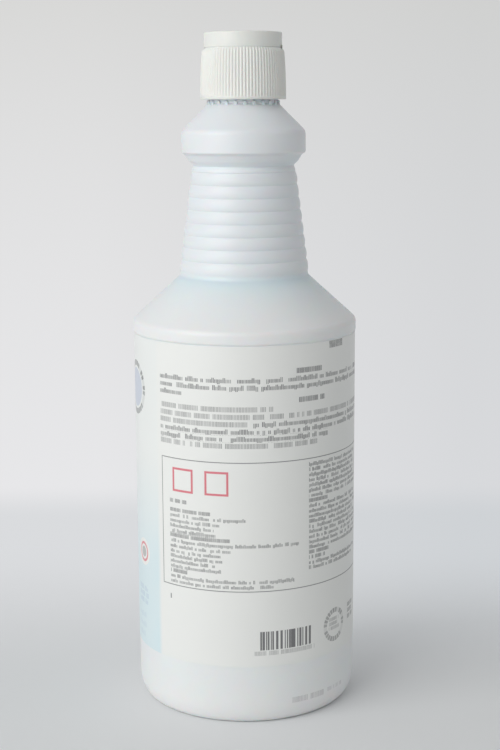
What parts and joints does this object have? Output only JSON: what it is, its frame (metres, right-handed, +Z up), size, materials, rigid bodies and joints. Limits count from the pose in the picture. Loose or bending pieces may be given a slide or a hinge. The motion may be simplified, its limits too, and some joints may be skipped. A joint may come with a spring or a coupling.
{
  "type": "toilet cleaner bottle",
  "caption": "Round white plastic squeeze-grip bottle with ribbed tapering neck, wrap label, and a ribbed screw cap with a flip lid over a small pouring spout.",
  "frame": {"origin": "centre of the standing ring's underside, on the bottle's axis", "axes": "+Z up along the bottle's axis; -Y faces the label's back panel, as in the picture; +X is the cap's hinge side, the lid opens from -X"},
  "size_m": [0.0866, 0.0866, 0.2585],
  "materials": {
    "bottle_plastic": "satin",
    "cleaner_liquid": "gloss",
    "label_film": "satin",
    "seal_foam": "matte",
    "cap_plastic": "satin"
  },
  "bodies": {
    "bottle": {"bottle": "bottle_plastic", "cleaner_fill": "cleaner_liquid", "wrap_label": "label_film"},
    "seal": {"seal_ring": "seal_foam"},
    "cap": {"cap_body": "cap_plastic"},
    "lid": {"flip_lid": "cap_plastic"}
  },
  "joints": [
    {"name": "cap_rise", "type": "slide", "parent": "bottle", "child": "seal", "axis": [0, 0, 1], "range_m": [0, 0.00847]},
    {"name": "cap_turn", "type": "hinge", "parent": "seal", "child": "cap", "pos_m": [0, 0, 0.2], "axis": [0, 0, 1], "range_deg": [0, 720]},
    {"name": "lid_flip", "type": "hinge", "parent": "cap", "child": "lid", "pos_m": [0.0152, 0, 0.25284], "axis": [0, 1, 0], "range_deg": [0, 130]}
  ],
  "couplings": [
    {"joint": "cap_turn", "follows": "cap_rise", "rad_per_m": 1484.2}
  ]
}
